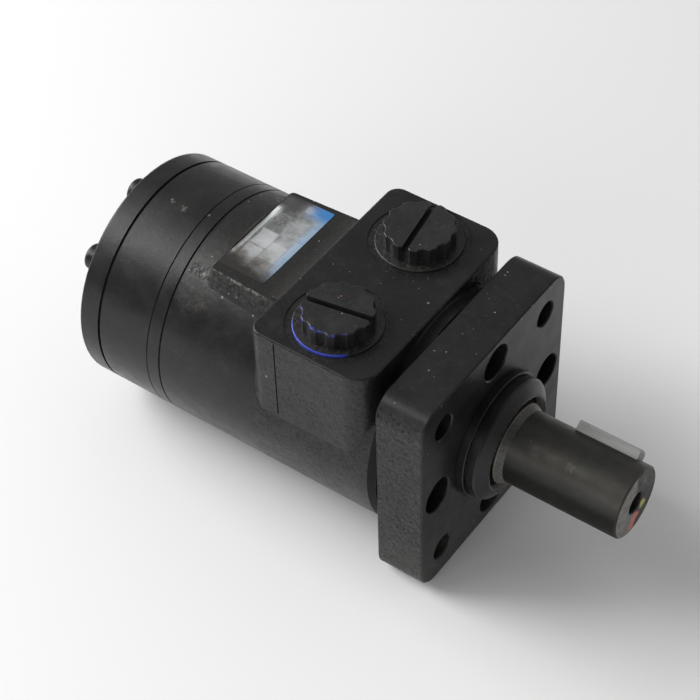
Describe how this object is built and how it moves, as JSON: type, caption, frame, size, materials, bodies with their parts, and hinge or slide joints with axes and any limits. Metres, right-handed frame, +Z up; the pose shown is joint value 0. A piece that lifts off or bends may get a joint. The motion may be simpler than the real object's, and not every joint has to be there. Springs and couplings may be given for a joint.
{
  "type": "hydraulic motor",
  "caption": "Orbital hydraulic motor: round body, square bolt flange with pilot, straight keyed shaft, ports on top closed by screw-in plugs.",
  "frame": {"origin": "centre of the flange's mounting face, on the shaft axis", "axes": "+X along the shaft, out of the motor; +Z up, the way the ports open; +Y to the side"},
  "size_m": [0.1992, 0.0824, 0.0916],
  "materials": {
    "painted_casting": "satin black paint over rough cast iron",
    "painted_machined": "satin black paint over machined iron",
    "oiled_steel": "oiled ground steel",
    "bright_steel": "ground steel",
    "black_screw_steel": "black painted screw steel",
    "sprayed_plastic": "blue moulded plastic sprayed black",
    "seal_rubber": "nitrile rubber",
    "washer_copper": "soft copper",
    "foil": "mottled foil"
  },
  "bodies": {
    "root": {"mounting_flange": "painted_casting", "flange_screws": "black_screw_steel", "dust_seal": "seal_rubber", "shaft_seal": "seal_rubber", "backup_washer": "bright_steel", "flange_seal_ring": "seal_rubber", "thrust_race": "bright_steel", "housing": "painted_casting", "housing_seal_ring": "seal_rubber", "spacer_plate": "painted_machined", "spacer_seal_ring": "seal_rubber", "geroler_ring": "painted_machined", "end_cap_seal_ring": "seal_rubber", "end_cap": "painted_machined", "cap_screws": "black_screw_steel", "seal_washers": "washer_copper", "name_plate": "foil"},
    "shaft": {"output_shaft": "oiled_steel", "shaft_key": "bright_steel"},
    "needle_cage": {"bearing_cage": "bright_steel", "bearing_needles": "bright_steel"},
    "star_orbit": {"drive_spacer": "bright_steel"},
    "star": {"star": "bright_steel"},
    "drive": {"drive_link": "bright_steel"},
    "roller_1": {"roller_1": "bright_steel"},
    "roller_2": {"roller_2": "bright_steel"},
    "roller_3": {"roller_3": "bright_steel"},
    "roller_4": {"roller_4": "bright_steel"},
    "roller_5": {"roller_5": "bright_steel"},
    "roller_6": {"roller_6": "bright_steel"},
    "roller_7": {"roller_7": "bright_steel"},
    "ring_left": {"plug_ring_left": "seal_rubber"},
    "plug_left": {"port_plug_left": "sprayed_plastic"},
    "ring_right": {"plug_ring_right": "seal_rubber"},
    "plug_right": {"port_plug_right": "sprayed_plastic"}
  },
  "joints": [
    {"name": "shaft_spin", "type": "hinge", "parent": "root", "child": "shaft", "pos_m": [0, 0, 0], "axis": [1, 0, 0], "continuous": true},
    {"name": "cage_spin", "type": "hinge", "parent": "root", "child": "needle_cage", "pos_m": [-0.022, 0, 0], "axis": [1, 0, 0], "continuous": true},
    {"name": "star_orbit", "type": "hinge", "parent": "root", "child": "star_orbit", "pos_m": [-0.1207, 0, 0], "axis": [1, 0, 0], "continuous": true},
    {"name": "star_spin", "type": "hinge", "parent": "star_orbit", "child": "star", "pos_m": [-0.1207, -0.00113, 0.00234], "axis": [1, 0, 0], "continuous": true},
    {"name": "drive_spin", "type": "hinge", "parent": "star_orbit", "child": "drive", "pos_m": [-0.1186, -0.00113, 0.00234], "axis": [0.9994, 0.0144, -0.0299], "continuous": true},
    {"name": "roller_1_spin", "type": "hinge", "parent": "root", "child": "roller_1", "pos_m": [-0.1207, -0.01063, 0.02207], "axis": [1, 0, 0], "continuous": true},
    {"name": "roller_2_spin", "type": "hinge", "parent": "root", "child": "roller_2", "pos_m": [-0.1207, -0.02389, 0.00545], "axis": [1, 0, 0], "continuous": true},
    {"name": "roller_3_spin", "type": "hinge", "parent": "root", "child": "roller_3", "pos_m": [-0.1207, -0.01915, -0.01528], "axis": [1, 0, 0], "continuous": true},
    {"name": "roller_4_spin", "type": "hinge", "parent": "root", "child": "roller_4", "pos_m": [-0.1207, 0, -0.0245], "axis": [1, 0, 0], "continuous": true},
    {"name": "roller_5_spin", "type": "hinge", "parent": "root", "child": "roller_5", "pos_m": [-0.1207, 0.01915, -0.01528], "axis": [1, 0, 0], "continuous": true},
    {"name": "roller_6_spin", "type": "hinge", "parent": "root", "child": "roller_6", "pos_m": [-0.1207, 0.02389, 0.00545], "axis": [1, 0, 0], "continuous": true},
    {"name": "roller_7_spin", "type": "hinge", "parent": "root", "child": "roller_7", "pos_m": [-0.1207, 0.01063, 0.02207], "axis": [1, 0, 0], "continuous": true},
    {"name": "plug_left_turn", "type": "hinge", "parent": "ring_left", "child": "plug_left", "pos_m": [-0.044, -0.0224, 0.0437], "axis": [0, 0, 1], "range_deg": [0, 2880]},
    {"name": "plug_left_lift", "type": "slide", "parent": "root", "child": "ring_left", "axis": [0, 0, 1], "range_m": [0, 0.01451]},
    {"name": "plug_right_turn", "type": "hinge", "parent": "ring_right", "child": "plug_right", "pos_m": [-0.044, 0.0224, 0.0437], "axis": [0, 0, 1], "range_deg": [0, 2880]},
    {"name": "plug_right_lift", "type": "slide", "parent": "root", "child": "ring_right", "axis": [0, 0, 1], "range_m": [0, 0.01451]}
  ],
  "couplings": [
    {"joint": "cage_spin", "follows": "shaft_spin", "ratio": 0.5},
    {"joint": "star_orbit", "follows": "shaft_spin", "ratio": -6},
    {"joint": "star_spin", "follows": "shaft_spin", "ratio": 7},
    {"joint": "drive_spin", "follows": "shaft_spin", "ratio": 7},
    {"joint": "roller_1_spin", "follows": "shaft_spin", "ratio": -4.387},
    {"joint": "roller_2_spin", "follows": "shaft_spin", "ratio": -4.387},
    {"joint": "roller_3_spin", "follows": "shaft_spin", "ratio": -4.387},
    {"joint": "roller_4_spin", "follows": "shaft_spin", "ratio": -4.387},
    {"joint": "roller_5_spin", "follows": "shaft_spin", "ratio": -4.387},
    {"joint": "roller_6_spin", "follows": "shaft_spin", "ratio": -4.387},
    {"joint": "roller_7_spin", "follows": "shaft_spin", "ratio": -4.387},
    {"joint": "plug_left_turn", "follows": "plug_left_lift", "rad_per_m": 3463.2},
    {"joint": "plug_right_turn", "follows": "plug_right_lift", "rad_per_m": 3463.2}
  ]
}
